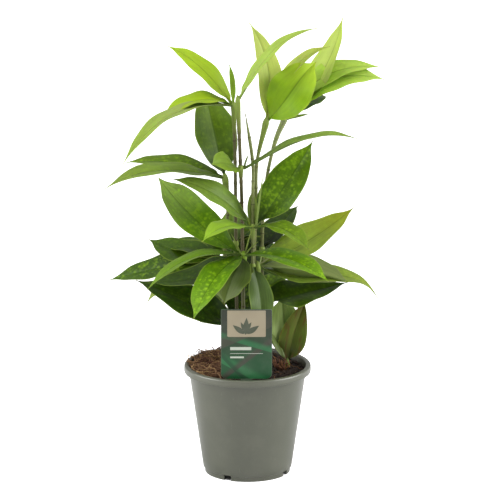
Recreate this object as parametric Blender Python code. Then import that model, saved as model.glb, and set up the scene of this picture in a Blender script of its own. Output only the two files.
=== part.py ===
"""Gold dust dracaena in its nursery pot.

Thin upright canes stand in plain holes in the soil.  Whorls of leaves sit on the canes as
collars round them or as caps on their ends.  A bare card label stands inside the front rim.

Lengths in the tables are millimetres.  The origin is the centre of the pot's foot on the
ground, +X is the right of the front view, +Y is the back and +Z is up.
"""
import math
from typing import NamedTuple

import bmesh
import bpy
import numpy as np
from mathutils import Vector

MM = 0.001
SHARP_ANGLE = math.radians(40)
CLEARANCE = 0.4          # air left between neighbouring pieces

# Pot: a 12 cm thin-walled nursery pot
POT_HEIGHT = 106.0
RIM_RADIUS = 60.6
RIM_INNER_RADIUS = 55.9
RIM_DEPTH = 6.8          # how far the rolled rim hangs down
FOOT_RADIUS = 40.7
FOOT_HEIGHT = 5.0
BASE_RADIUS = 42.3       # wall radius just over the foot
WALL = 1.3
RIM_WALL = 1.2
FLOOR_LEVEL = 6.6        # top of the pot's floor
FILLET = 1.5             # inside the pot, round the floor
FOOT_WALL = 2.4
POT_SEGMENTS = 56
NOTCH_WIDTH = 5.8        # drain notches in the foot ring
NOTCH_HEIGHT = 4.8
NOTCH_DEPTH = 12.0
NOTCH_HEADING = 242.0
NOTCH_COUNT = 4
DRAIN_RADIUS = 3.2       # holes through the floor
DRAIN_RING = 24.0
DRAIN_SIDES = 12

# Soil
SOIL_EDGE = 100.5         # level where it meets the pot
SOIL_LEAN = 3.0          # rise toward the back left
SOIL_MOUND = 2.0         # rise of the middle
SOIL_LUMPS = 0.6
SOIL_EDGE_DROP = 5.0     # the edge may sink this far, so it keeps the wall's radius there
SOIL_RINGS = 5
SOIL_SEGMENTS = 36

# Canes
CANE_RADIUS = 1.75
CANE_FOOT = 66.0         # level of the canes' lower ends, deep in the soil
CANE_STEP = 16.0         # length of one straight piece of a cane
SPAN_SAMPLES = 12        # curve points between two knots of a route
LEVEL_SAMPLES = 60       # points searched for a level on a cane
HOLE_RADIUS = 2.25
HOLE_SIDES = 12
HOLE_TOP = 125.0         # the hole cutters end over the soil

# Card label
CARD_WIDTH = 48.5
CARD_TOP = 173.0
CARD_BOTTOM = 104.5
CARD_CORNER = 9.0
CARD_CORNER_STEPS = 6
CARD_THICKNESS = 0.8
CARD_FRONT = -46.5
CARD_CENTRE = -0.9
STAKE_WIDTH = 11.0
STAKE_FOOT = 72.0
STAKE_POINT = 8.0        # height of the stake's pointed end

# Leaves
LEAF_THICKNESS = 0.75
STALK_HALF = 1.7         # half width of the stalk where it clasps the cane
STALK_SHARE = 0.07       # share of the midrib that is stalk
TIP_HALF = 0.45
BLADE_FULLNESS = 1.65    # sum of the outline's two exponents: lower is blunter
DRIP_START = 0.80        # the blade narrows into its drip tip from here
DRIP = 0.62
FOLD = 0.20              # rise of the blade's edges beside the midrib
STATIONS = (0.0, 0.05, 0.12, 0.21, 0.32, 0.44, 0.56, 0.68, 0.79, 0.88, 0.95, 1.0)
ROLL_SETTLED = 0.3       # share of the midrib over which the roll builds up

# Leaf bases
BASE_WALL = 1.5          # wall of a collar round a cane
COLLAR_HALF = 3.4        # half a collar's height
CAP_HEIGHT = 10.0        # cap on a cane's end
CAP_ROOT = 3.2           # level in the cap that its leaves spring from
CAP_ROOT_OUT = 1.0
BASE_SIDES = 12


class Leaf(NamedTuple):
    """One leaf, as it leaves its node."""
    heading: float       # plan direction of the tip, degrees: 0 right, 90 back, 180 left
    reach: float         # level distance from node to tip
    climb: float         # height of the tip over the node
    bow: float           # how far the midrib bows up off its chord
    width: float
    roll: float = 0.0    # turn of the upper face toward the front, degrees
    sway: float = 0.0    # bow to the left of the heading
    skew: float = 0.0    # moves the bow toward the node (+) or the tip (-)
    fullest: float = 0.45    # where the blade is widest, as a share of its length


class Cane(NamedTuple):
    """One cane, from its foot in the soil to its end."""
    route: tuple
    radius: float = CANE_RADIUS


class Whorl(NamedTuple):
    """Leaves that spring from one node of a cane."""
    cane: str
    level: float
    leaves: tuple


CANES = {
    "cane_left": Cane(((-9, 12, 66), (-9, 12, 96), (-11, 10, 200), (-11.5, 7, 290), (-13, 4, 356))),
    "cane_tall": Cane(((-4, 2, 66), (-4, 2, 96), (-5, 3, 245), (-6.5, -5, 300), (-9, -5, 364))),
    "cane_spear": Cane(((6, -9, 66), (6, -9, 96), (5, -10, 200), (5, -11, 244), (5, -6, 272),
                        (5.2, 1, 302), (-2.2, 4, 353))),
    "cane_centre": Cane(((5, 14, 66), (5, 14, 96), (6, 11, 200), (8, 7, 260), (9, 6, 303),
                         (17, 6, 340))),
    "cane_right": Cane(((16, 24, 66), (16, 24, 96), (14, 24, 220), (18, 23, 280), (26.5, 24, 320),
                        (34, 24, 338))),
    "cane_back": Cane(((-24, 20, 66), (-24, 20, 96), (-22, 18, 205), (-18.6, 11, 260),
                       (-21, 6, 285))),
    "cane_front": Cane(((-5, -22, 66), (-5, -22, 96), (-4, -20, 160), (-4, -15, 214))),
    "cane_low": Cane(((15, 2, 66), (15, 2, 96), (13, 2, 150), (10, 1, 200))),
    "cane_short": Cane(((38.2, 11, 66), (38.2, 11, 84), (38.2, 11, 101))),
}

WHORLS = {
    "leaves_crown_left": Whorl("cane_left", 356, (
        Leaf(155, 68, 51, 6.5, 25, 16, skew=-0.2),
        Leaf(190, 68, -7, 10, 30, 8, skew=0.2),
        Leaf(205, 114, -45, 21, 27),
        Leaf(180, 3, 40, 1.5, 8, 70),
    )),
    "leaf_tall_arch": Whorl("cane_tall", 364, (
        Leaf(10, 78, 66.5, 13.5, 20, 10, skew=-0.35, fullest=0.34),
    )),
    "leaves_tall_node": Whorl("cane_tall", 300, (
        Leaf(352, 109, 33, 12, 26, skew=-0.45),
        Leaf(235, 44, 14, 3, 24, 45),
    )),
    "leaves_crown_centre": Whorl("cane_centre", 340, (
        Leaf(110, 46, 86, 6, 24, sway=-9, fullest=0.36),
        Leaf(15, 48, 55, 3.5, 44, 60, sway=-8, skew=-0.8, fullest=0.42),
        Leaf(8, 60, 71, 11, 18, 20, sway=8, skew=-0.5, fullest=0.5),
    )),
    "leaves_crown_right": Whorl("cane_right", 338, (
        Leaf(30, 63, 92, -8, 37, sway=-4),
        Leaf(15, 94, 45, 19, 30, 20),
        Leaf(12, 96, 34, 20, 32, 35),
        Leaf(60, 80, 5, 8, 27, 20),
        Leaf(350, 22, 6, 0, 5, 20),
    )),
    "leaves_side_shoot": Whorl("cane_back", 285, (
        Leaf(164, 98, 8, 7, 28, 9),
        Leaf(204, 123, 2, 13, 30, 9, skew=-0.35, fullest=0.38),
        Leaf(115, 44, 75, 4, 43, sway=2),
    )),
    "leaves_middle": Whorl("cane_spear", 244, (
        Leaf(30, 63, 76, -2, 38, 38, fullest=0.4),
        Leaf(190, 75, 51, 9, 31, 30, fullest=0.36),
        Leaf(235, 80, 4, 8, 26, 8, skew=-0.3, fullest=0.37),
        Leaf(315, 72, -8, 10, 28, 2),
        Leaf(350, 7, 52, 0, 6),
    )),
    "leaves_front": Whorl("cane_front", 214, (
        Leaf(160, 85, 69, -6, 41, 30, fullest=0.52),
        Leaf(205, 99, -22, 15, 22),
        Leaf(325, 97, -10, 10, 31, 8),
        Leaf(239, 90, -41, 12, 33),
        Leaf(170, 92, -30, -6, 34, 20),
        Leaf(230, 31, -37, 3, 40, fullest=0.42),
    )),
    "leaves_back_left": Whorl("cane_back", 205, (
        Leaf(160, 115, -32, 2, 36, 25),
        Leaf(150, 81, 8, -5, 38, 20),
        Leaf(135, 88, -2, 4, 34, 10),
        Leaf(166, 74, -49, 10, 34, 25),
        Leaf(27, 60, -22, 2, 30, 75),
    )),
    "leaves_low": Whorl("cane_low", 200, (
        Leaf(25, 101, 46, -5, 41, 20, fullest=0.38),
        Leaf(10, 87, -20, 3, 35, -60),
        Leaf(20, 123, -46, 7, 30, 18, skew=-3),
    )),
    "leaf_low_right": Whorl("cane_low", 165, (
        Leaf(26, 91, 10, -1, 37, 25, fullest=0.26),
    )),
    "leaf_hanging": Whorl("cane_spear", 205, (
        Leaf(290, 18, -69, 12, 24, fullest=0.38),
    )),
    "leaves_base": Whorl("cane_front", 146, (
        Leaf(165, 103, 41, 2, 41, 28, fullest=0.36),
    )),
    "leaves_soil_right": Whorl("cane_short", 101, (
        Leaf(52, 26, 56, 3, 26, 35, fullest=0.44),
        Leaf(100, 31, 57, 2, 33),
        Leaf(135, 30, 40, 3, 20),
    )),
    "leaves_left_node": Whorl("cane_left", 222, (
        Leaf(97, 50, 22, 4, 34, 30, fullest=0.55),
        Leaf(88, 45, -30, 5, 32, fullest=0.6),
    )),
    "leaves_right_node": Whorl("cane_right", 212, (
        Leaf(53, 55, 32, 3, 24),
        Leaf(110, 45, 15, 4, 36),
    )),
    "leaves_back_low": Whorl("cane_back", 150, (
        Leaf(110, 72, 2, 6, 30),
        Leaf(32, 74, 30, 2, 38, 68),
    )),
}


def smooth_route(points, count):
    """Points evenly spread along a smooth curve through the given ones."""
    knots = np.array(points, dtype=float)
    ends = np.vstack([2 * knots[0] - knots[1], knots, 2 * knots[-1] - knots[-2]])
    curve = []
    for index in range(len(knots) - 1):
        p0, p1, p2, p3 = ends[index:index + 4]
        span = np.linalg.norm(p2 - p1)
        before = (p2 - p0) / (span + np.linalg.norm(p1 - p0)) * span
        after = (p3 - p1) / (span + np.linalg.norm(p3 - p2)) * span
        for t in np.linspace(0, 1, SPAN_SAMPLES, endpoint=False):
            curve.append((2 * t**3 - 3 * t**2 + 1) * p1 + (t**3 - 2 * t**2 + t) * before
                         + (3 * t**2 - 2 * t**3) * p2 + (t**3 - t**2) * after)
    curve.append(knots[-1])
    curve = np.array(curve)
    travelled = np.concatenate([[0], np.cumsum(np.linalg.norm(np.diff(curve, axis=0), axis=1))])
    wanted = np.linspace(0, travelled[-1], count)
    return np.array([[np.interp(s, travelled, curve[:, axis]) for axis in range(3)]
                     for s in wanted])


def point_at_level(cane, level):
    """The cane's axis and direction at a height; past its end, its end."""
    route = smooth_route(cane.route, LEVEL_SAMPLES)
    index = int(np.clip(np.searchsorted(route[:, 2], level), 1, len(route) - 1))
    low, high = route[index - 1], route[index]
    share = np.clip((level - low[2]) / (high[2] - low[2]), 0, 1)
    direction = (high - low) / np.linalg.norm(high - low)
    return Vector(low + (high - low) * share), Vector(direction)


def midrib(leaf, base, t):
    """A point of the midrib, t running from the node to the tip."""
    heading = math.radians(leaf.heading)
    ahead = Vector((math.cos(heading), math.sin(heading), 0))
    left = Vector((-math.sin(heading), math.cos(heading), 0))
    chord = ahead * leaf.reach + Vector((0, 0, leaf.climb))
    above = (Vector((0, 0, leaf.reach)) - ahead * leaf.climb).normalized()
    crest = 4 * t * (1 - t)
    lift = leaf.bow * crest * (1 + leaf.skew * (1 - 2 * t))
    return base + chord * t + above * lift + left * (leaf.sway * crest)


def half_width(leaf, t):
    """Half the blade's width: a stalk, an oval blade and a drawn-out drip tip."""
    u = max(0.0, (t - STALK_SHARE) / (1 - STALK_SHARE))
    rise = BLADE_FULLNESS * leaf.fullest
    fall = BLADE_FULLNESS - rise
    peak = leaf.fullest**rise * (1 - leaf.fullest)**fall
    drip = min(1.0, max(0.0, (u - DRIP_START) / (1 - DRIP_START)))
    oval = u**rise * (1 - u)**fall / peak * (1 - DRIP * drip * drip * (3 - 2 * drip))
    stalk = min(STALK_HALF, leaf.width / 2) * (1 - t)
    return max(TIP_HALF, stalk * (1 - oval) + leaf.width / 2 * oval)


def blade_frame(leaf, base, t):
    """Midrib point, side direction and upper-face direction at t."""
    step = 0.01
    tangent = (midrib(leaf, base, t + step) - midrib(leaf, base, t - step)).normalized()
    heading = math.radians(leaf.heading)
    left = Vector((-math.sin(heading), math.cos(heading), 0))
    side = (left - tangent * left.dot(tangent)).normalized()
    face = tangent.cross(side)
    facing = 1 if math.cos(heading) >= 0 else -1
    turn = facing * math.radians(leaf.roll * min(1.0, t / ROLL_SETTLED))
    turned_side = side * math.cos(turn) + face * math.sin(turn)
    return midrib(leaf, base, t), turned_side, tangent.cross(turned_side)


def link(name, bm):
    """An object made from a finished bmesh, shaded smooth with its edges kept."""
    mesh = bpy.data.meshes.new(name)
    bm.to_mesh(mesh)
    bm.free()
    mesh.shade_smooth()
    mesh.set_sharp_from_angle(angle=SHARP_ANGLE)
    piece = bpy.data.objects.new(name, mesh)
    bpy.context.scene.collection.objects.link(piece)
    return piece


def make_leaf(name, leaf, base):
    """A closed blade with its fold along the midrib."""
    bm = bmesh.new()
    bmesh.ops.create_grid(bm, x_segments=2, y_segments=len(STATIONS) - 1, size=0.5)
    for vertex in bm.verts:
        across = vertex.co.x * 2
        station = round((vertex.co.y + 0.5) * (len(STATIONS) - 1))
        t = STATIONS[station]
        rib, side, face = blade_frame(leaf, base, t)
        half = half_width(leaf, t)
        vertex.co = (rib + side * (across * half) + face * (abs(across) * half * FOLD)) * MM
    bmesh.ops.triangulate(bm, faces=bm.faces[:])
    bmesh.ops.solidify(bm, geom=bm.faces[:], thickness=LEAF_THICKNESS * MM)
    bmesh.ops.recalc_face_normals(bm, faces=bm.faces[:])
    return link(name, bm)


def turned(name, profile, segments):
    """A closed solid turned round Z from (radius, height) pairs."""
    bm = bmesh.new()
    ring = [bm.verts.new((radius * MM, 0, height * MM)) for radius, height in profile]
    edges = [bm.edges.new((ring[i], ring[(i + 1) % len(ring)])) for i in range(len(ring))]
    bmesh.ops.spin(bm, geom=ring + edges, axis=(0, 0, 1), cent=(0, 0, 0), angle=math.tau,
                   steps=segments, use_merge=True)
    bmesh.ops.remove_doubles(bm, verts=bm.verts[:], dist=0.00001)
    bmesh.ops.recalc_face_normals(bm, faces=bm.faces[:])
    return link(name, bm)


def box(name, size, centre):
    """A box, used as a cutter."""
    bm = bmesh.new()
    bmesh.ops.create_cube(bm, size=1)
    bmesh.ops.scale(bm, verts=bm.verts[:], vec=[value * MM for value in size])
    bmesh.ops.translate(bm, verts=bm.verts[:], vec=[value * MM for value in centre])
    return link(name, bm)


def post(name, x, y, low, high, radius, sides):
    """An upright round post, used as a cutter."""
    bm = bmesh.new()
    bmesh.ops.create_cone(bm, cap_ends=True, segments=sides, radius1=radius * MM,
                          radius2=radius * MM, depth=(high - low) * MM)
    bmesh.ops.translate(bm, verts=bm.verts[:], vec=(x * MM, y * MM, (high + low) / 2 * MM))
    return link(name, bm)


def combine(piece, tools, operation):
    """Join or cut a piece with the tools, then remove the tools."""
    group = bpy.data.collections.new(piece.name + "_tools")
    bpy.context.scene.collection.children.link(group)
    for tool in tools:
        bpy.context.scene.collection.objects.unlink(tool)
        group.objects.link(tool)
    modifier = piece.modifiers.new("combine", "BOOLEAN")
    modifier.operation = operation
    modifier.operand_type = "COLLECTION"
    modifier.collection = group
    modifier.solver = "EXACT"
    result = bpy.data.meshes.new_from_object(
        piece.evaluated_get(bpy.context.evaluated_depsgraph_get()))
    result.shade_smooth()
    result.set_sharp_from_angle(angle=SHARP_ANGLE)
    piece.modifiers.remove(modifier)
    piece.data = result
    for tool in tools:
        bpy.data.objects.remove(tool, do_unlink=True)
    bpy.data.collections.remove(group)


def material(name, colour, roughness):
    """A plain finish for one kind of piece."""
    finish = bpy.data.materials.new(name)
    finish.use_nodes = True
    shader = finish.node_tree.nodes["Principled BSDF"]
    shader.inputs["Base Color"].default_value = (*colour, 1)
    shader.inputs["Roughness"].default_value = roughness
    shader.inputs["Metallic"].default_value = 0
    return finish


def wall_radius(height):
    """Outer radius of the pot's tapered wall."""
    top = POT_HEIGHT - RIM_DEPTH
    return BASE_RADIUS + (RIM_INNER_RADIUS - BASE_RADIUS) * (height - FOOT_HEIGHT) / (top - FOOT_HEIGHT)


def build_pot():
    """A tapered wall with a rolled rim, on a foot ring with drain notches."""
    top = POT_HEIGHT - RIM_DEPTH
    middle = (top + FOOT_HEIGHT) / 2
    corner = FLOOR_LEVEL + FILLET
    profile = [
        (FOOT_RADIUS - FOOT_WALL, 0),
        (FOOT_RADIUS, 0),
        (FOOT_RADIUS, FOOT_HEIGHT - 0.6),
        (BASE_RADIUS, FOOT_HEIGHT),
        (wall_radius(middle), middle),
        (wall_radius(top), top),
        (RIM_INNER_RADIUS + RIM_WALL, POT_HEIGHT - RIM_WALL - 0.5),
        (RIM_RADIUS - RIM_WALL, POT_HEIGHT - RIM_WALL - 0.5),
        (RIM_RADIUS - RIM_WALL, top),
        (RIM_RADIUS - 0.3, top),
        (RIM_RADIUS, top + 0.6),
        (RIM_RADIUS, POT_HEIGHT - 1.6),
        (RIM_RADIUS - 0.5, POT_HEIGHT - 0.5),
        (RIM_RADIUS - 1.6, POT_HEIGHT),
        (RIM_INNER_RADIUS + 0.9, POT_HEIGHT),
        (RIM_INNER_RADIUS, POT_HEIGHT - 0.9),
        (wall_radius(top) - WALL, top),
        (wall_radius(middle) - WALL, middle),
        (wall_radius(corner) - WALL, corner),
        (wall_radius(corner) - WALL - FILLET, FLOOR_LEVEL),
        (0, FLOOR_LEVEL),
        (0, FLOOR_LEVEL - WALL),
        (FOOT_RADIUS - FOOT_WALL, FLOOR_LEVEL - WALL),
    ]
    pot = turned("pot", profile, POT_SEGMENTS)
    below = -1.0
    cutters = [post("drain", 0, 0, below, FLOOR_LEVEL + 1, DRAIN_RADIUS, DRAIN_SIDES)]
    for index in range(NOTCH_COUNT):
        heading = math.radians(NOTCH_HEADING + index * 360 / NOTCH_COUNT)
        notch = box("notch", (NOTCH_DEPTH, NOTCH_WIDTH, NOTCH_HEIGHT - below),
                    (FOOT_RADIUS, 0, (NOTCH_HEIGHT + below) / 2))
        notch.rotation_euler = (0, 0, heading)
        cutters.append(notch)
        cutters.append(post("drain", DRAIN_RING * math.cos(heading), DRAIN_RING * math.sin(heading),
                            below, FLOOR_LEVEL + 1, DRAIN_RADIUS, DRAIN_SIDES))
    combine(pot, cutters, "DIFFERENCE")
    return pot


def soil_level(x, y):
    """Height of the soil's surface, with lumps and a mound at the back left."""
    lumps = (math.sin(x * 0.31 + 1.1) * math.cos(y * 0.27 - 0.4)
             + 0.6 * math.sin(x * 0.62 - y * 0.48 + 2.0))
    middle = max(0.0, 1 - math.hypot(x, y) / RIM_INNER_RADIUS)
    return SOIL_EDGE + SOIL_LEAN * (y - x) / 80 + SOIL_MOUND * middle + SOIL_LUMPS * lumps


def build_soil():
    """One block that fills the pot, with plain holes for the canes and a slot for the stake."""
    gap = WALL + CLEARANCE
    floor = FLOOR_LEVEL + CLEARANCE
    corner = floor + FILLET
    edge = wall_radius(SOIL_EDGE - SOIL_EDGE_DROP) - gap
    profile = [(0, floor), (wall_radius(corner) - gap - FILLET, floor),
               (wall_radius(corner) - gap, corner)]
    profile += [(edge * (1 - ring / SOIL_RINGS), SOIL_EDGE) for ring in range(SOIL_RINGS + 1)]
    soil = turned("soil", profile, SOIL_SEGMENTS)
    for vertex in soil.data.vertices:
        if vertex.co.z > (SOIL_EDGE - 1) * MM:
            vertex.co.z = soil_level(vertex.co.x / MM, vertex.co.y / MM) * MM
    cutters = [post("hole", cane.route[0][0], cane.route[0][1], CANE_FOOT - CLEARANCE, HOLE_TOP,
                    HOLE_RADIUS, HOLE_SIDES) for cane in CANES.values()]
    slot_foot = STAKE_FOOT - CLEARANCE
    cutters.append(box("slot", (STAKE_WIDTH + 2 * CLEARANCE, CARD_THICKNESS + 2 * CLEARANCE,
                                HOLE_TOP - slot_foot),
                       (CARD_CENTRE, CARD_FRONT, (HOLE_TOP + slot_foot) / 2)))
    combine(soil, cutters, "DIFFERENCE")
    return soil


def build_card():
    """The card label: round lower corners over a narrow pointed stake."""
    half = CARD_WIDTH / 2
    stake = STAKE_WIDTH / 2
    shoulder = STAKE_FOOT + STAKE_POINT
    right = [(half, CARD_TOP)]
    for step in range(CARD_CORNER_STEPS + 1):
        angle = math.tau / 4 * step / CARD_CORNER_STEPS
        right.append((half - CARD_CORNER + CARD_CORNER * math.cos(angle),
                      CARD_BOTTOM + CARD_CORNER - CARD_CORNER * math.sin(angle)))
    right += [(stake, CARD_BOTTOM), (stake, shoulder)]
    left = [(-x, z) for x, z in reversed(right)]
    bm = bmesh.new()
    corners = [bm.verts.new(((CARD_CENTRE + x) * MM, (CARD_FRONT - CARD_THICKNESS / 2) * MM, z * MM))
               for x, z in right + [(0, STAKE_FOOT)] + left]
    front = bm.faces.new(corners)
    moved = bmesh.ops.extrude_face_region(bm, geom=[front])
    back = [item for item in moved["geom"] if isinstance(item, bmesh.types.BMVert)]
    bmesh.ops.translate(bm, verts=back, vec=(0, CARD_THICKNESS * MM, 0))
    bmesh.ops.recalc_face_normals(bm, faces=bm.faces[:])
    return link("card_label", bm)


def build_cane(name, cane):
    """A round cane on a smooth route, with filled ends."""
    curve = bpy.data.curves.new(name, "CURVE")
    curve.dimensions = "3D"
    curve.bevel_depth = cane.radius * MM
    curve.bevel_resolution = 2
    curve.use_fill_caps = True
    length = cane.route[-1][2] - cane.route[0][2]
    points = smooth_route(cane.route, max(5, round(length / CANE_STEP)))
    spline = curve.splines.new("POLY")
    spline.points.add(len(points) - 1)
    for point, place in zip(spline.points, points):
        point.co = (*(place * MM), 1)
    piece = bpy.data.objects.new(name, curve)
    bpy.context.scene.collection.objects.link(piece)
    return piece


def build_whorl(name, whorl):
    """Leaves fused to a collar round the cane, or to a cap on its end."""
    cane = CANES[whorl.cane]
    centre, direction = point_at_level(cane, whorl.level)
    inner = cane.radius + CLEARANCE
    outer = inner + BASE_WALL
    if whorl.level >= cane.route[-1][2]:
        profile = [(0, 0), (outer - 0.4, 0), (outer, 1.2), (outer - 0.2, CAP_HEIGHT * 0.45),
                   (outer - 1.8, CAP_HEIGHT * 0.85), (0, CAP_HEIGHT)]
        start = centre + direction * CLEARANCE
        root = centre + direction * CAP_ROOT
        offset = CAP_ROOT_OUT
    else:
        profile = [(inner, -COLLAR_HALF), (outer - 0.5, -COLLAR_HALF), (outer, -1.5),
                   (outer, 1.5), (outer - 0.5, COLLAR_HALF), (inner, COLLAR_HALF)]
        start = centre
        root = centre
        offset = inner + BASE_WALL / 2
    base = turned(name, profile, BASE_SIDES)
    turn = Vector((0, 0, 1)).rotation_difference(direction).to_matrix()
    for vertex in base.data.vertices:
        vertex.co = turn @ vertex.co + start * MM
    blades = []
    for index, leaf in enumerate(whorl.leaves):
        heading = math.radians(leaf.heading)
        foot = root + Vector((math.cos(heading), math.sin(heading), 0)) * offset
        blades.append(make_leaf(f"{name}_{index}", leaf, foot))
    combine(base, blades, "UNION")
    return base


def main():
    for existing in list(bpy.data.objects):
        bpy.data.objects.remove(existing, do_unlink=True)
    finishes = {
        "pot": material("pot_plastic", (0.14, 0.15, 0.12), 0.45),
        "soil": material("soil", (0.035, 0.02, 0.013), 0.95),
        "card": material("card_print", (0.06, 0.14, 0.07), 0.4),
        "cane": material("cane_bark", (0.16, 0.2, 0.06), 0.55),
        "leaf": material("leaf_green", (0.12, 0.25, 0.02), 0.4),
    }
    build_pot().data.materials.append(finishes["pot"])
    build_soil().data.materials.append(finishes["soil"])
    build_card().data.materials.append(finishes["card"])
    for name, cane in CANES.items():
        build_cane(name, cane).data.materials.append(finishes["cane"])
    for name, whorl in WHORLS.items():
        build_whorl(name, whorl).data.materials.append(finishes["leaf"])


main()
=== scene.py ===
"""Gold dust dracaena in its nursery pot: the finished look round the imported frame.

Lengths in the tables are millimetres.  +X is the right of the front view, +Y is the back and
+Z is up.  Leaves, canes, soil, pot and card follow the solids that they stand for.  Some leaves
in the core, the card's corners, the foot's notches and the fibre mat differ from them a little.
"""
from functools import partial, reduce
from math import atan2, copysign, cos, exp, hypot, pi, radians, sin, sqrt, tau
from typing import NamedTuple

import bmesh
import bpy
import numpy as np
from mathutils import Matrix, Vector, noise


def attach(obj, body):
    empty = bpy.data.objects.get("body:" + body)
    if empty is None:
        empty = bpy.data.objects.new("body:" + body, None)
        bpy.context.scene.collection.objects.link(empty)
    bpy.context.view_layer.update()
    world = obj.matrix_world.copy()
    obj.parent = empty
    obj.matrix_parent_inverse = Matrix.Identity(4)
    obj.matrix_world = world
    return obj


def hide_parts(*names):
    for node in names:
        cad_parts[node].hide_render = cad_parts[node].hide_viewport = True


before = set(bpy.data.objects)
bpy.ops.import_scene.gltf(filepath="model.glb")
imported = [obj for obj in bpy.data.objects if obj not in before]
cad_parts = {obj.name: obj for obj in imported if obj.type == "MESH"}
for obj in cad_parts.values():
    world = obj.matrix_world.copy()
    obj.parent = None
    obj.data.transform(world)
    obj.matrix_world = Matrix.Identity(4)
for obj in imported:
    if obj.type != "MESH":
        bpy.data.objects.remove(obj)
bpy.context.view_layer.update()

MM = 0.001


def paint(red, green, blue):
    """A display colour, 0 to 255 a channel, as linear light."""
    return tuple((max(0.0, value) / 255) ** 2.2 for value in (red, green, blue))


# Leaf form
STALK_HALF = 1.7
STALK_SHARE = 0.07
TIP_HALF = 0.45
BLADE_FULLNESS = 1.65
DRIP_START = 0.80
DRIP = 0.62
FOLD = 0.20
STALK_FOLD = 0.75        # the stalk is a channel
ROLL_SETTLED = 0.3
SMALL_WIDTH = 12         # narrower leaves are built from fewer strips
FOOT_SHADE = 0.55        # how dark a grown blade is at its stalk: painted shade of the crowded leaf bases, partly the stalk's own darker green
BLADE_STRIPS = 16
BLADE_STEPS = 46
BLADE_BODY = 0.38        # thickness beside the midrib
BLADE_EDGE = 0.16        # thickness at the margin
KEEL = 0.9               # midrib's rise under the blade, at the stalk
KEEL_HALF = 0.8
GROOVE = 0.14            # midrib's groove in the upper face
QUILT = 0.045            # swell of each half of the blade, as a share of its half width
MARGIN_WAVE = 0.075      # wave of the margin, as a share of the half width

# Leaf bases and canes
CLEARANCE = 0.4
BASE_WALL = 1.5
COLLAR_HALF = 3.4
CAP_ROOT = 3.2
CAP_ROOT_OUT = 1.0
CANE_RADIUS = 1.75
CANE_SIDES = 14
CANE_STEP = 1.3
COLLAR_SIDES = 20
NODE_SPACING = 21.0
YOUNG_END = 250          # canes that end higher are young and greener
SOIL_LINE = 96.0

# Pot
POT_SEGMENTS = 160
POT_HEIGHT = 106.0
RIM_RADIUS = 60.6
RIM_INNER_RADIUS = 55.9
RIM_DEPTH = 6.8
RIM_WALL = 1.2
FOOT_RADIUS = 40.7
FOOT_HEIGHT = 5.0
FOOT_WALL = 2.4
BASE_RADIUS = 42.3
WALL = 1.3
FLOOR_LEVEL = 6.6
FILLET = 1.5
NOTCH_WIDTH = 7.4
NOTCH_HEIGHT = 5.7
NOTCH_DEPTH = 12.0
NOTCH_HEADING = 242.0
DRAIN_RADIUS = 3.2
DRAIN_RING = 24.0

# Soil
SOIL_GAP = WALL + 0.05   # from the wall's outer face to the soil
SOIL_EDGE = 100.5
SOIL_LEAN = 3.0
SOIL_MOUND = 2.0
SOIL_LUMPS = 0.6
SOIL_PITS = 1.5
SOIL_SEGMENTS = 128
SOIL_RINGS = 46
CLODS = 720
FIBRES = 1050
TUFT_FIBRES = 70
MAT_HEADINGS = (84, 232)
FIBRE_PILE = 4.6         # how high the fibre mat lies against the wall at the left and back
FIBRE_STEPS = 6

# Card
CARD_WIDTH = 48.5
CARD_TOP = 173.0
CARD_BOTTOM = 104.5
CARD_CORNER = 5.5
CARD_THICKNESS = 0.8
CARD_FRONT = -46.5
CARD_CENTRE = -0.9
STAKE_WIDTH = 11.0
STAKE_FOOT = 72.0
STAKE_POINT = 8.0
LAYER = 0.04             # thickness of a printed layer
FIELD_MARGIN = 6.0       # the plain field, from the card's sides
FIELD_TOP = 1.0          # its edges, from the card's top
FIELD_BOTTOM = 27.0
# printed leaves: foot x and height, length, width and lean
SPRIG = ((-1.0, 148.0, 17.0, 6.0, 4), (-2.0, 149.0, 14.0, 5.4, -52), (0.0, 149.0, 14.5, 5.6, 56),
         (-1.4, 151.5, 10.0, 3.6, -24), (-0.6, 151.5, 10.5, 3.8, 30))
# printed pale bars: left end, height, width and depth
BARS = ((-15.5, 133.0, 20.0, 3.0), (-15.5, 129.4, 31.0, 0.4), (-15.5, 125.0, 13.0, 1.7))
# printed facets: lean across the card, foot, depth, colour and strength
FACETS = ((0.55, 106, 13, (52, 118, 72), 0.8), (-0.80, 121, 9, (66, 64, 54), 0.85),
          (0.30, 137, 8, (44, 112, 68), 0.8), (-0.45, 145, 16, (72, 72, 60), 0.75),
          (1.10, 98, 9, (28, 66, 42), 0.7))
# the card's plain inks: each ink and a paler painted sheen, mottled together
INKS = {
    "card_plastic": ((84, 100, 82), (92, 108, 90)),
    "card_taupe": ((156, 144, 120), (176, 164, 138)),
    "card_ink": ((72, 78, 62), (80, 88, 70)),
    "card_pale": ((192, 200, 184), (202, 208, 194)),
}

# Room: name, strength, spread and turn of each lamp, then the camera
LAMPS = (("left_bank", 2.6, 50, (66, 0, -80)), ("right_bank", 3.0, 50, (68, 0, 82)),
         ("overhead", 0.75, 60, (18, 0, -20)))
SKY_STRENGTH = 0.40
CAMERA_LENS = 453.8
CAMERA_PITCH = 15.15     # how far it looks down, in degrees
CAMERA_DISTANCE = 6.0    # metres, as the target
CAMERA_TARGET = Vector((0.0024, 0.0, 0.21865))


class Tone(NamedTuple):
    """Colours of one leaf, from its stalk to its tip."""
    root: tuple
    heart: tuple
    tip: tuple
    speckle: float = 0.0     # how thickly the gold dust lies
    wither: float = 0.0      # brown streaks


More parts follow.
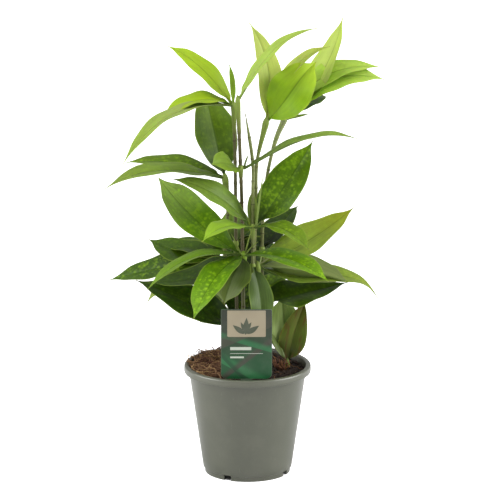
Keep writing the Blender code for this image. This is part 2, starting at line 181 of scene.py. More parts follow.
TONES = {
    "lime": Tone((138, 160, 44), (144, 170, 30), (152, 180, 40), 0.05),
    "fresh": Tone((118, 142, 26), (136, 166, 22), (184, 206, 52), 0.05),
    "cream": Tone((156, 176, 76), (166, 184, 78), (164, 180, 74)),
    # A paler copy of cream: painted light on a leaf whose seen face lies in shade.
    "cream_lit": Tone((168, 186, 82), (176, 194, 92), (152, 170, 78)),
    "frosted": Tone((124, 142, 76), (138, 158, 78), (130, 160, 36)),
    "spring": Tone((136, 158, 66), (150, 174, 70), (152, 174, 76)),
    "meadow": Tone((146, 174, 54), (164, 194, 64), (170, 190, 82), 0.3),
    "olive": Tone((100, 122, 50), (112, 136, 52), (128, 148, 60), 0.3),
    "grass": Tone((112, 142, 46), (126, 158, 44), (138, 170, 48), 0.1),
    "sap": Tone((94, 120, 40), (102, 130, 36), (112, 140, 42), 0.1),
    "leaf": Tone((78, 102, 28), (84, 114, 20), (98, 126, 32), 0.6),
    "deep": Tone((74, 100, 28), (80, 108, 20), (110, 138, 44), 0.35),
    "deep_gold": Tone((56, 80, 12), (82, 118, 5), (94, 130, 8), 1.0),
    # Its pale tip is partly heavy gold dust and partly a painted sheen.
    "gilded_sheen": Tone((74, 104, 20), (108, 146, 26), (194, 216, 112), 1.0),
    "bright_gold": Tone((80, 116, 12), (82, 120, 4), (100, 140, 14), 1.0),
    # These three tones are darkened copies of deep and deep_gold: painted shade for leaves in the plant's
    # shaded core.
    "deep_shaded": Tone((54, 78, 14), (58, 82, 10), (72, 98, 20), 0.25),
    "deep_gold_shaded": Tone((46, 67, 11), (54, 77, 6), (72, 99, 13), 0.8),
    "shade": Tone((36, 54, 8), (41, 61, 6), (54, 78, 12), 0.15),
    "grey_green": Tone((96, 114, 62), (92, 112, 54), (98, 114, 54)),
    # A paler copy of grey_green: painted light on leaves that lie in shade.
    "grey_green_lit": Tone((146, 162, 100), (156, 174, 98), (148, 162, 90)),
    "khaki": Tone((120, 142, 52), (134, 156, 54), (150, 158, 34), 0.4),
    "faded": Tone((104, 122, 48), (114, 134, 50), (128, 140, 42), 0.3),
    "withered": Tone((92, 104, 46), (94, 112, 42), (92, 88, 36), 0.0, 1.0),
    "stem": Tone((128, 148, 66), (134, 154, 70), (126, 144, 60)),
    "pale_stem": Tone((150, 158, 108), (156, 164, 116), (150, 160, 110)),
}


class Leaf(NamedTuple):
    """One leaf, as it leaves its node."""
    tone: str
    heading: float           # plan direction of the tip: 0 right, 90 back, 180 left
    reach: float
    climb: float
    bow: float
    width: float
    roll: float = 0.0        # turn of the upper face toward the front
    sway: float = 0.0
    skew: float = 0.0
    fullest: float = 0.45
    wave: float = 1.0        # how much the margin waves


class Whorl(NamedTuple):
    """Leaves that spring from one node of a cane."""
    cane: str
    level: float
    leaves: tuple
    sheath: float = 12.0     # length of the leaf sheath that wraps the cane under the node
    swell: float = 2.7       # its radius at the node
    sheath_tone: str = "stem"
    slot: str = "leaf_mature"


BROWN_CANES = {"cane_tall": 0.85, "cane_left": 0.7}

CANES = {
    "cane_left": ((-9, 12, 66), (-9, 12, 96), (-11, 10, 200), (-11.5, 7, 290), (-13, 4, 356)),
    "cane_tall": ((-4, 2, 66), (-4, 2, 96), (-5, 3, 245), (-6.5, -5, 300), (-9, -5, 364)),
    "cane_spear": ((6, -9, 66), (6, -9, 96), (5, -10, 200), (5, -11, 244), (5, -6, 272),
                   (5.2, 1, 302), (-2.2, 4, 353)),
    "cane_centre": ((5, 14, 66), (5, 14, 96), (6, 11, 200), (8, 7, 260), (9, 6, 303),
                    (17, 6, 340)),
    "cane_right": ((16, 24, 66), (16, 24, 96), (14, 24, 220), (18, 23, 280), (26.5, 24, 320),
                   (34, 24, 338)),
    "cane_back": ((-24, 20, 66), (-24, 20, 96), (-22, 18, 205), (-18.6, 11, 260), (-21, 6, 285)),
    "cane_front": ((-5, -22, 66), (-5, -22, 96), (-4, -20, 160), (-4, -15, 214)),
    "cane_low": ((15, 2, 66), (15, 2, 96), (13, 2, 150), (10, 1, 200)),
    "cane_short": ((38.2, 11, 66), (38.2, 11, 84), (38.2, 11, 101)),
}

WHORLS = {
    "leaves_crown_left": Whorl("cane_left", 356, (
        Leaf("lime", 155, 68, 51, 6.5, 25, 16, skew=-0.2),
        Leaf("lime", 190, 68, -7, 10, 30, 8, skew=0.2),
        Leaf("frosted", 205, 114, -45, 21, 27),
        Leaf("grass", 180, 3, 40, 1.5, 5.6, 70, wave=0.2),
    ), 24, slot="leaf_young"),
    "leaf_tall_arch": Whorl("cane_tall", 364, (
        Leaf("spring", 10, 78, 66.5, 13.5, 20, 10, skew=-0.35, fullest=0.34),
    ), 30, 2.5, slot="leaf_young"),
    "leaves_tall_node": Whorl("cane_tall", 300, (
        Leaf("olive", 352, 109, 33, 12, 26, skew=-0.45),
        Leaf("sap", 235, 44, 14, 3, 24, 45),
        Leaf("olive", 20, 5, 13, 0, 3.6, wave=0),
    ), 9, 2.9),
    "leaves_crown_centre": Whorl("cane_centre", 340, (
        Leaf("cream_lit", 110, 46, 86, 6, 24, sway=-9, fullest=0.36),
        Leaf("fresh", 15, 48, 55, 3.5, 42, 60, sway=-8, skew=-0.8, fullest=0.44, wave=2.0),
        Leaf("cream", 8, 60, 71, 11, 18, 20, sway=8, skew=-0.5, fullest=0.5),
    ), 26, 3.2, slot="leaf_young"),
    "leaves_crown_right": Whorl("cane_right", 338, (
        Leaf("cream", 30, 63, 92, -8, 37, sway=-4),
        Leaf("meadow", 15, 94, 45, 19, 30, 20),
        Leaf("meadow", 12, 96, 34, 20, 32, 35),
        Leaf("shade", 60, 80, 5, 8, 27, 20),
        Leaf("frosted", 350, 22, 6, 0, 5, 20, wave=0.2),
    ), 24, 3.1, "pale_stem", slot="leaf_young"),
    "leaves_side_shoot": Whorl("cane_back", 285, (
        Leaf("leaf", 164, 98, 8, 7, 28, 9),
        Leaf("olive", 204, 123, 2, 13, 30, 9, skew=-0.35, fullest=0.38),
        Leaf("deep", 115, 44, 75, 4, 43, sway=2),
    ), 22, 3.3),
    "leaves_middle": Whorl("cane_spear", 244, (
        Leaf("deep_gold", 30, 63, 76, -2, 38, 38, fullest=0.4),
        Leaf("olive", 190, 75, 51, 9, 31, 30, fullest=0.36),
        Leaf("grass", 235, 80, 4, 8, 26, 8, skew=-0.3, fullest=0.37),
        Leaf("leaf", 315, 72, -8, 10, 28, 2),
        Leaf("stem", 350, 7, 52, 0, 6, wave=0),
        Leaf("stem", 95, 3, 34, 0, 10, wave=0.2),
    )),
    "leaves_front": Whorl("cane_front", 214, (
        Leaf("gilded_sheen", 160, 85, 69, -6, 41, 30, fullest=0.52),
        Leaf("sap", 205, 99, -22, 15, 22),
        Leaf("bright_gold", 325, 97, -10, 10, 31, 8),
        Leaf("bright_gold", 239, 90, -41, 12, 33),
        Leaf("shade", 170, 92, -30, -8.5, 38, 20, fullest=0.34),
        Leaf("grey_green", 236, 31, -40, 3, 45, fullest=0.44),
        Leaf("stem", 180, 10, 21, 0, 3.4, wave=0),
        Leaf("stem", 5, 6, 23, 0, 3.0, wave=0),
        Leaf("stem", 350, 13, 14, 1, 3.2, wave=0),
    ), 17, 3.5, "grass"),
    "leaves_back_left": Whorl("cane_back", 205, (
        Leaf("deep_gold_shaded", 160, 115, -32, 2, 36, 25),
        Leaf("deep_shaded", 150, 81, 8, -5, 38, 20),
        Leaf("deep_shaded", 135, 88, -2, 4, 37, 10, fullest=0.34),
        Leaf("olive", 166, 74, -49, 10, 34, 25),
        Leaf("shade", 27, 60, -12, 4, 40, 75),
    )),
    "leaves_low": Whorl("cane_low", 200, (
        Leaf("khaki", 25, 101, 46, -5, 41, 20, fullest=0.38),
        Leaf("grey_green_lit", 10, 87, -20, 3, 35, -60),
        Leaf("faded", 20, 123, -46, 7, 30, 18, skew=-3),
        Leaf("pale_stem", 185, 5, 27, 0, 2.8, wave=0),
        Leaf("pale_stem", 0, 4, 15, 0, 2.4, wave=0),
        Leaf("pale_stem", 20, 12, 7, 0, 3.0, wave=0),
    )),
    "leaf_low_right": Whorl("cane_low", 165, (
        Leaf("deep_shaded", 26, 91, 10, 0, 40, 25, fullest=0.26),
    )),
    "leaf_hanging": Whorl("cane_spear", 205, (
        Leaf("grey_green", 290, 18, -69, 12, 24, fullest=0.38),
    )),
    "leaves_base": Whorl("cane_front", 146, (
        Leaf("shade", 165, 103, 41, 2, 41, 28, fullest=0.36),
    )),
    "leaves_soil_right": Whorl("cane_short", 101, (
        Leaf("withered", 50, 27, 56, 3, 26, 35, fullest=0.30),
        Leaf("grey_green_lit", 100, 31, 57, 2, 33),
        Leaf("grey_green", 135, 30, 40, 3, 20),
    ), 3.0, 2.3, "withered"),
    "leaves_left_node": Whorl("cane_left", 222, (
        Leaf("deep", 97, 50, 22, 4, 36, 30, fullest=0.25),
        Leaf("shade", 98, 45, -30, 12, 41, fullest=0.34),
    )),
    "leaves_right_node": Whorl("cane_right", 212, (
        Leaf("shade", 53, 55, 32, 3, 30, fullest=0.36),
        Leaf("shade", 105, 45, 19, 4, 44, fullest=0.26),
    )),
    "leaves_back_low": Whorl("cane_back", 150, (
        Leaf("leaf", 110, 72, 2, 6, 30),
        Leaf("deep_gold_shaded", 32, 74, 30, 2, 40, 68, fullest=0.30),
    )),
}


# Shader building

class Board:
    """A node tree with short ways to place and join its nodes."""

    def __init__(self, tree):
        self.tree = tree

    def feed(self, value, socket):
        """Join a socket to another, or set its value."""
        if isinstance(value, bpy.types.NodeSocket):
            self.tree.links.new(value, socket)
        elif isinstance(value, tuple) and len(value) == 3 and socket.type == "RGBA":
            socket.default_value = (*value, 1)
        else:
            socket.default_value = value

    def fill(self, node, **values):
        """Feed a node's inputs by name, with _ for a space. Gives its outputs."""
        for name, value in values.items():
            self.feed(value, node.inputs[name.replace("_", " ")])
        return node.outputs

    def add(self, kind, *values, **settings):
        """A new node with its settings and its first inputs."""
        node = self.tree.nodes.new("ShaderNode" + kind)
        for name, value in settings.items():
            setattr(node, name, value)
        for value, socket in zip(values, node.inputs):
            self.feed(value, socket)
        return node

    def group(self, tree, **values):
        return self.fill(self.add("Group", node_tree=tree), **values)

    def math(self, operation, *values, clamp=False):
        return self.add("Math", *values, operation=operation, use_clamp=clamp).outputs[0]

    def times(self, *values):
        return reduce(partial(self.math, "MULTIPLY"), values)

    def plus(self, *values):
        return reduce(partial(self.math, "ADD"), values)

    def mix(self, factor, first, second):
        node = self.add("Mix", factor, data_type="RGBA")
        self.feed(first, node.inputs[6])
        self.feed(second, node.inputs[7])
        return node.outputs[2]

    def stain(self, colour, mask, amount, tint):
        """A display colour laid over another where the mask says."""
        return self.mix(self.times(mask, amount), colour, paint(*tint))

    def scaled(self, vector, factors):
        return self.add("VectorMath", vector, factors, operation="MULTIPLY").outputs[0]

    def shaded(self, colour, amount):
        return self.fill(self.add("VectorMath", colour, operation="SCALE"), Scale=amount)[0]

    def span(self, value, low, high, start=0.0, end=1.0):
        """Value from low to high as start to end, held outside."""
        return self.add("MapRange", value, low, high, start, end, interpolation_type="SMOOTHSTEP").outputs[0]

    def parts(self, vector):
        return self.add("SeparateXYZ", vector).outputs

    def cloud(self, vector, scale, detail=3.0, roughness=0.55):
        return self.fill(self.add("TexNoise"), Vector=vector, Scale=scale, Detail=detail,
                         Roughness=roughness)[0]

    def cells(self, vector, scale):
        return self.fill(self.add("TexVoronoi"), Vector=vector, Scale=scale)

    def coords(self):
        return self.add("TexCoord").outputs["Object"]

    def attribute(self, name, output="Vector"):
        return self.add("Attribute", attribute_name=name).outputs[output]


class Finish(Board):
    """A material's board with its Principled shader."""

    def __init__(self, name):
        self.material = bpy.data.materials.new(name)
        self.material.use_nodes = True
        super().__init__(self.material.node_tree)
        self.shader = self.tree.nodes["Principled BSDF"]

    def bump(self, height, distance, strength):
        relief = self.fill(self.add("Bump"), Strength=strength, Distance=distance, Height=height)
        self.feed(relief[0], self.shader.inputs["Normal"])

    def done(self, **values):
        """The material, with the shader's inputs fed by name."""
        self.fill(self.shader, **values)
        return self.material


def shader_group(name, inputs, outputs):
    """An empty node group with named sockets, and its board and ends."""
    tree = bpy.data.node_groups.new(name, "ShaderNodeTree")
    for way, sockets in (("INPUT", inputs), ("OUTPUT", outputs)):
        for label, kind in sockets.items():
            tree.interface.new_socket(label, in_out=way, socket_type="NodeSocket" + kind)
    start, end = tree.nodes.new("NodeGroupInput"), tree.nodes.new("NodeGroupOutput")
    return tree, Board(tree), start.outputs, end.inputs


def build_leaf_surface():
    """Veins, gold dust, pale underside, margin and brown streaks of a leaf."""
    tree, b, given, out = shader_group(
        "leaf_surface",
        {"Tint": "Color", "Blade": "Vector", "Place": "Vector", "Marks": "Vector", "Dust Colour": "Color",
         "Vein Contrast": "Float"},
        {"Colour": "Color", "Roughness Shift": "Float", "Height": "Float"})
    across, along, upper = b.parts(given["Blade"])
    speckle, wither, _ = b.parts(given["Marks"])
    tint, place = given["Tint"], given["Place"]
    side = b.math("ABSOLUTE", across)

    # veins run from stalk to tip and meet at both
    _, run, leaf_number = b.parts(place)
    lengthwise = b.add("CombineXYZ", b.times(across, 14.0), b.times(run, 0.03), leaf_number).outputs[0]
    broad_vein = b.math("SUBTRACT", b.cloud(lengthwise, 0.55, 2.0), 0.5)
    fine_vein = b.math("SUBTRACT", b.cloud(lengthwise, 1.9, 2.0), 0.5)
    vein = b.plus(broad_vein, fine_vein)
    blotch = b.cloud(b.scaled(place, (0.10, 0.045, 1.0)), 1.0, 2.0)
    uneven = b.times(b.math("SUBTRACT", blotch, 0.5), 0.55)
    colour = b.shaded(tint, b.plus(1.0, b.times(vein, given["Vein Contrast"]), uneven))

    # gold dust: soft flecks that run together, thick in the middle of the blade
    warp = b.fill(b.add("TexNoise"), Vector=place, Scale=0.30)[1]
    bent = b.add("VectorMath", warp, (1.8, 1.8, 0), place, operation="MULTIPLY_ADD").outputs[0]
    dust = b.span(b.cloud(bent, 0.20, 2.0), 0.50, 0.70, 0.0, 0.7)
    for scale, size, share, strength in ((0.20, 0.50, 0.36, 1.0), (0.34, 0.46, 0.46, 0.7)):
        cells = b.cells(bent, scale)
        chosen = b.span(b.parts(cells["Color"])[0], share, share + 0.2)
        fleck = b.times(b.span(cells["Distance"], size * 0.15, size, 1.0, 0.0), chosen, strength)
        dust = b.math("MAXIMUM", dust, fleck)
    patch = b.span(b.cloud(b.scaled(place, (0.07, 0.05, 1.0)), 1.0, 1.0), 0.28, 0.52, 0.4, 1.0)
    inner = b.times(b.span(side, 0.98, 0.6), b.span(along, 0.06, 0.25))
    dust = b.times(dust, b.times(patch, inner), speckle)
    dust = b.math("MULTIPLY", dust, b.span(upper, 0.4, 0.6, 0.25, 0.95), clamp=True)
    colour = b.mix(dust, colour, b.mix(0.6, b.shaded(tint, 1.9), given["Dust Colour"]))

    # the midrib's dark line is painted shade of its groove; then the paler margin and the paler face below
    colour = b.stain(colour, b.span(side, 0.012, 0.05, 1.0, 0.0), 0.40, (54, 80, 14))
    colour = b.stain(colour, b.span(side, 0.90, 1.0), 0.40, (160, 182, 70))
    below = b.times(b.math("SUBTRACT", 1.0, upper, clamp=True), 0.55)
    colour = b.mix(below, colour, paint(104, 124, 70))

    # brown streaks and a dry tip
    streak = b.span(b.cloud(b.scaled(place, (0.30, 0.05, 1.0)), 1.0, 4.0), 0.46, 0.66, 0.0, 0.75)
    streak = b.times(streak, b.span(side, 0.1, 0.7, 0.45, 1.0))
    colour = b.stain(colour, streak, wither, (104, 72, 40))
    colour = b.stain(colour, b.span(along, 0.965, 1.0), 0.55, (128, 116, 62))

    b.feed(colour, out["Colour"])
    b.feed(b.plus(b.times(below, 0.25), b.times(blotch, 0.10)), out["Roughness Shift"])
    b.feed(b.plus(b.times(vein, 0.6), b.times(dust, 0.25)), out["Height"])
    return tree


def leaf_material(name, surface, dust, roughness, vein_contrast, glow):
    """One leaf finish over the shared surface."""
    b = Finish(name)
    skin = b.group(surface, Tint=b.attribute("tint", "Color"), Blade=b.attribute("blade"),
                   Place=b.attribute("place"), Marks=b.attribute("marks"), Dust_Colour=dust,
                   Vein_Contrast=vein_contrast)
    b.bump(skin["Height"], 0.00012, 0.8)
    return b.done(Base_Color=skin["Colour"], Roughness=b.plus(skin["Roughness Shift"], roughness),
                  Subsurface_Weight=glow, Subsurface_Radius=(0.5, 1.0, 0.15), Subsurface_Scale=0.0015,
                  Specular_IOR_Level=0.26)


def build_grime():
    """Dust, scuffs and splashes, shared by the pot and the card."""
    tree, b, given, out = shader_group("grime", {"Place": "Vector", "Amount": "Float"},
                                       {"Dust": "Float", "Scuff": "Float", "Splash": "Float"})
    place = given["Place"]
    haze = b.span(b.cloud(place, 38.0, 5.0, 0.65), 0.42, 0.75)
    scratch = b.span(b.cloud(b.scaled(place, (700, 700, 60)), 1.0, 2.0), 0.66, 0.74)
    spots = b.cells(place, 260.0)
    rare = b.span(b.parts(spots["Color"])[1], 0.90, 0.93)
    dot = b.times(b.span(spots["Distance"], 0.12, 0.22, 1.0, 0.0), rare)
    for mask, label in ((haze, "Dust"), (scratch, "Scuff"), (dot, "Splash")):
        b.feed(b.times(mask, given["Amount"]), out[label])
    return tree


def pot_material(grime):
    """Grey-green moulded plastic, a little dusty, with soil on its rim and foot, and a painted highlight on
    its rim.
    """
    b = Finish("pot_plastic")
    coords = b.coords()
    x, y, z = b.parts(coords)
    wear = b.group(grime, Place=coords, Amount=1.0)
    tone = b.cloud(b.scaled(coords, (30, 30, 9)), 1.0, 3.0)
    colour = b.mix(tone, paint(71, 74, 58), paint(79, 82, 65))
    # The rim is painted a little paler: a painted highlight where it catches the light.
    colour = b.mix(b.span(z, 0.0985, 0.1035, 0.0, 0.10), colour, paint(130, 130, 110))
    colour = b.stain(colour, wear["Dust"], 0.14, (130, 128, 114))
    colour = b.stain(colour, wear["Scuff"], 0.10, (150, 150, 138))
    colour = b.stain(colour, wear["Splash"], 0.12, (70, 50, 36))
    from_axis = b.math("SQRT", b.plus(b.times(x, x), b.times(y, y)))
    slope = (RIM_INNER_RADIUS - BASE_RADIUS) / (POT_HEIGHT - RIM_DEPTH - FOOT_HEIGHT)
    from_wall = b.math("SUBTRACT", from_axis, b.math("MULTIPLY_ADD", z, slope, wall_radius(0) * MM))
    inside = b.times(b.span(from_wall, -0.0009, -0.0004, 1.0, 0.0), b.span(z, 0.020, 0.030))
    rim_soil = b.times(inside, b.span(z, 0.0985, 0.1050, 1.0, 0.0))
    colour = b.stain(colour, rim_soil, 0.75, (54, 40, 30))
    foot = b.times(b.span(z, 0.0, 0.012, 1.0, 0.0), b.span(b.cloud(coords, 140.0, 4.0), 0.46, 0.66))
    colour = b.stain(colour, foot, 0.15, (70, 62, 50))
    rough = b.plus(b.times(wear["Dust"], 0.16), b.times(tone, 0.08), 0.36)
    pebble = b.cloud(coords, 1500.0, 2.0)
    rings = b.math("SINE", b.times(z, 2600.0))
    b.bump(b.plus(b.times(pebble, 0.6), b.times(rings, 0.05)), 0.00008, 0.5)
    return b.done(Base_Color=colour, Roughness=rough, Specular_IOR_Level=0.7, Coat_Weight=1.0,
                  Coat_Roughness=0.32)


def soil_material():
    """Damp crumbly potting soil, browner at the left, with painted shade at the right and the front."""
    b = Finish("soil")
    coords = b.coords()
    x, y, _ = b.parts(coords)
    grain = b.cloud(coords, 420.0, 6.0, 0.7)
    broad = b.cloud(coords, 42.0, 3.0)
    colour = b.mix(b.span(grain, 0.35, 0.7), paint(30, 16, 10), paint(80, 44, 28))
    # Painted shadow of the front wall: darker towards the front.
    colour = b.mix(b.span(y, -0.050, -0.005, 0.6, 0.0), colour, paint(38, 22, 14))
    # Painted shade: darker towards the right.
    colour = b.stain(colour, b.span(x, -0.020, 0.015), 0.75, (32, 20, 12))
    colour = b.stain(colour, broad, 0.5, (34, 21, 14))
    b.bump(grain, 0.0012, 0.9)
    return b.done(Base_Color=colour, Roughness=b.span(broad, 0.4, 0.7, 0.7, 0.95))


def tinted_material(name, roughness, grain_scale, depth):
    """A finish that takes its colour from the piece's own tint, with a fine grain."""
    b = Finish(name)
    grain = b.cloud(b.coords(), grain_scale, 4.0, 0.65)
    colour = b.mix(b.span(grain, 0.3, 0.8, 0.0, 0.6), b.attribute("tint", "Color"), paint(40, 26, 16))
    rough = b.span(grain, 0.3, 0.7, roughness - 0.1, roughness + 0.1)
    b.bump(grain, depth, 0.7)
    return b.done(Base_Color=colour, Roughness=rough)


def cane_material():
    """Smooth green-brown cane: ringed nodes, lengthwise streaks and grey bloom."""
    b = Finish("cane_bark")
    around, run, node = b.parts(b.attribute("cane"))
    age = b.attribute("tint", "Color")
    place = b.add("CombineXYZ", b.times(around, 9.0), b.times(run, 0.22)).outputs[0]
    streak = b.cloud(place, 1.0, 3.0)
    colour = b.mix(b.span(streak, 0.40, 0.62, 0.0, 0.75), age, b.mix(0.55, age, paint(46, 38, 24)))
    fleck = b.cloud(b.scaled(place, (1.6, 6.0, 1.0)), 1.0, 3.0)
    colour = b.mix(b.span(fleck, 0.56, 0.68, 0.0, 0.5), colour, paint(150, 146, 110))
    colour = b.mix(b.span(node, 0.25, 0.9, 0.0, 0.7), colour, paint(62, 46, 28))
    b.bump(b.plus(streak, b.times(fleck, 0.5)), 0.0002, 0.6)
    return b.done(Base_Color=colour, Roughness=b.span(streak, 0.3, 0.7, 0.42, 0.6))


def print_material(name, ink, sheen, grime):
    """Ink on a satin plastic card, mottled with a paler painted sheen."""
    b = Finish(name)
    coords = b.coords()
    wear = b.group(grime, Place=coords, Amount=0.7)
    colour = b.mix(b.cloud(b.scaled(coords, (40, 40, 60)), 1.0, 2.0), paint(*ink), paint(*sheen))
    colour = b.stain(colour, wear["Dust"], 0.15, (170, 168, 156))
    b.bump(b.cloud(coords, 900.0, 2.0), 0.00003, 0.4)
    return b.done(Base_Color=colour, Roughness=b.plus(b.times(wear["Scuff"], 0.2), 0.34))


def facet_material(grime):
    """Satin print of broad slanted facets in greens and grey-brown."""
    b = Finish("card_facets")
    coords = b.coords()
    x, _, z = b.parts(coords)
    wear = b.group(grime, Place=coords, Amount=0.7)
    colour = b.mix(b.span(z, 0.105, 0.165), paint(26, 82, 46), paint(52, 58, 46))
    for lean, low, depth, tint, strength in FACETS:
        slope = b.math("MULTIPLY_ADD", x, lean, z)
        band = b.times(b.span(slope, low * MM, (low + 0.8) * MM),
                       b.span(slope, (low + depth * 0.4) * MM, (low + depth) * MM, 1.0, 0.0))
        colour = b.stain(colour, band, strength, tint)
    colour = b.stain(colour, wear["Dust"], 0.12, (150, 150, 138))
    return b.done(Base_Color=colour, Roughness=b.plus(b.times(wear["Scuff"], 0.2), 0.36))


def floor_material():
    """Plain pale studio floor. It glows for the camera alone, and not under the foot."""
    b = Finish("studio_floor")
    coords = b.coords()
    pale = b.mix(b.cloud(coords, 3.0, 2.0), (0.70, 0.70, 0.70), (0.73, 0.73, 0.73))
    seen = b.add("LightPath").outputs["Is Camera Ray"]
    away = b.add("VectorMath", coords, operation="LENGTH").outputs["Value"]
    clear = b.span(away, (FOOT_RADIUS - 4) * MM, FOOT_RADIUS * MM)
    return b.done(Base_Color=pale, Roughness=0.9, Specular_IOR_Level=0.1, Emission_Color=(1, 1, 1),
                  Emission_Strength=b.times(seen, clear, 0.9))


# Leaf and cane curves, as in the solids

def smooth_route(points, count):
    """Points evenly spread along a smooth curve through the given ones."""
    knots = np.array(points, dtype=float)
    ends = np.vstack([2 * knots[0] - knots[1], knots, 2 * knots[-1] - knots[-2]])
    curve = []
    for index in range(len(knots) - 1):
        p0, p1, p2, p3 = ends[index:index + 4]
        span = np.linalg.norm(p2 - p1)
        before = (p2 - p0) / (span + np.linalg.norm(p1 - p0)) * span
        after = (p3 - p1) / (span + np.linalg.norm(p3 - p2)) * span
        for t in np.linspace(0, 1, 12, endpoint=False):
            curve.append((2 * t**3 - 3 * t**2 + 1) * p1 + (t**3 - 2 * t**2 + t) * before
                         + (3 * t**2 - 2 * t**3) * p2 + (t**3 - t**2) * after)
    curve = np.array(curve + [knots[-1]])
    travelled = np.concatenate([[0], np.cumsum(np.linalg.norm(np.diff(curve, axis=0), axis=1))])
    wanted = np.linspace(0, travelled[-1], count)
    return np.array([np.interp(wanted, travelled, curve[:, axis]) for axis in range(3)]).T


def point_at_level(points, level):
    """A cane's axis and direction at a height; past its end, its end."""
    route = smooth_route(points, 60)
    index = int(np.clip(np.searchsorted(route[:, 2], level), 1, len(route) - 1))
    low, high = route[index - 1], route[index]
    share = np.clip((level - low[2]) / (high[2] - low[2]), 0, 1)
    direction = (high - low) / np.linalg.norm(high - low)
    return Vector(low + (high - low) * share), Vector(direction)


def toward(heading):
    """The plan direction of a heading in degrees."""
    return Vector((cos(radians(heading)), sin(radians(heading)), 0))


def held(value, low=0.0, high=1.0):
    return min(high, max(low, value))


def lerp(first, second, share):
    return tuple(a + (b - a) * share for a, b in zip(first, second))


def midrib(leaf, base, t):
    """A point of the midrib, t running from the node to the tip."""
    ahead = toward(leaf.heading)
    left = Vector((-ahead.y, ahead.x, 0))
    chord = ahead * leaf.reach + Vector((0, 0, leaf.climb))
    above = (Vector((0, 0, leaf.reach)) - ahead * leaf.climb).normalized()
    crest = 4 * t * (1 - t)
    lift = leaf.bow * crest * (1 + leaf.skew * (1 - 2 * t))
    return base + chord * t + above * lift + left * (leaf.sway * crest)


def half_width(leaf, t):
    """Half the blade's width: a stalk, an oval blade and a drawn-out drip tip."""
    u = max(0.0, (t - STALK_SHARE) / (1 - STALK_SHARE))
    rise = BLADE_FULLNESS * leaf.fullest
    fall = BLADE_FULLNESS - rise
    peak = leaf.fullest**rise * (1 - leaf.fullest)**fall
    drip = held((u - DRIP_START) / (1 - DRIP_START))
    oval = u**rise * (1 - u)**fall / peak * (1 - DRIP * drip * drip * (3 - 2 * drip))
    stalk = min(STALK_HALF, leaf.width / 2) * (1 - t)
    return max(TIP_HALF, stalk * (1 - oval) + leaf.width / 2 * oval)


def blade_frame(leaf, base, t):
    """Midrib point, side direction and upper-face direction at t."""
    tangent = (midrib(leaf, base, t + 0.01) - midrib(leaf, base, t - 0.01)).normalized()
    ahead = toward(leaf.heading)
    left = Vector((-ahead.y, ahead.x, 0))
    side = (left - tangent * left.dot(tangent)).normalized()
    face = tangent.cross(side)
    facing = 1 if ahead.x >= 0 else -1
    turn = facing * radians(leaf.roll * min(1.0, t / ROLL_SETTLED))
    turned_side = side * cos(turn) + face * sin(turn)
    return midrib(leaf, base, t), turned_side, tangent.cross(turned_side)


# Mesh building

def placed(name, data):
    """A new object in the scene."""
    thing = bpy.data.objects.new(name, data)
    bpy.context.scene.collection.objects.link(thing)
    return thing


def turn_outward(bm):
    bmesh.ops.recalc_face_normals(bm, faces=bm.faces[:])


def object_from(bm, name, material=None, sharp=35):
    """The finished object, shaded smooth up to a sharp angle."""
    mesh = bpy.data.meshes.new(name)
    bm.to_mesh(mesh)
    bm.free()
    mesh.shade_smooth()
    mesh.set_sharp_from_angle(angle=radians(sharp))
    if material:
        mesh.materials.append(material)
    return placed(name, mesh)


def spin_profile(bm, profile, segments, mark=None):
    """A closed solid turned round Z from (radius, height) pairs in millimetres."""
    ring = [bm.verts.new((radius * MM, 0, height * MM)) for radius, height in profile]
    edges = [bm.edges.new(ends) for ends in zip(ring, ring[1:] + ring[:1])]
    if mark:
        mark(ring)
    bmesh.ops.spin(bm, geom=ring + edges, axis=(0, 0, 1), cent=(0, 0, 0), angle=tau, steps=segments,
                   use_merge=True)


def turned_solid(profile, segments):
    bm = bmesh.new()
    spin_profile(bm, profile, segments)
    bmesh.ops.remove_doubles(bm, verts=bm.verts[:], dist=0.00001)
    turn_outward(bm)
    return bm


def upright_to(direction):
    return Vector((0, 0, 1)).rotation_difference(direction).to_matrix()


class Form:
    """A mesh in the making, with the leaf surface's attributes on its points."""

    def __init__(self):
        self.bm = bmesh.new()
        points = self.bm.verts.layers
        self.group = points.int.new("group")
        self.tint = points.float_color.new("tint")
        self.blade = points.float_vector.new("blade")
        self.place = points.float_vector.new("place")
        self.marks = points.float_vector.new("marks")
        self.count = 0

    def members(self):
        """The points of the shape begun last."""
        return [vertex for vertex in self.bm.verts if vertex[self.group] == self.count]

    def begin(self, vertices):
        """Mark new points as one shape. What is grown from them keeps the mark."""
        self.count += 1
        for vertex in vertices:
            vertex[self.group] = self.count

    def spin(self, profile, segments, blade):
        """Begin a turned shape, which takes its looks from one place of a blade."""
        def mark(ring):
            self.begin(ring)
            for vertex in ring:
                vertex[self.blade] = blade
        spin_profile(self.bm, profile, segments, mark)
        bmesh.ops.remove_doubles(self.bm, verts=self.members(), dist=0.00001)

    def close(self):
        """Turn the last shape's faces outwards."""
        faces = {face for vertex in self.members() for face in vertex.link_faces}
        bmesh.ops.recalc_face_normals(self.bm, faces=list(faces))

    def finish(self, name, material, sharp=60):
        self.bm.verts.layers.int.remove(self.group)
        return object_from(self.bm, name, material, sharp)


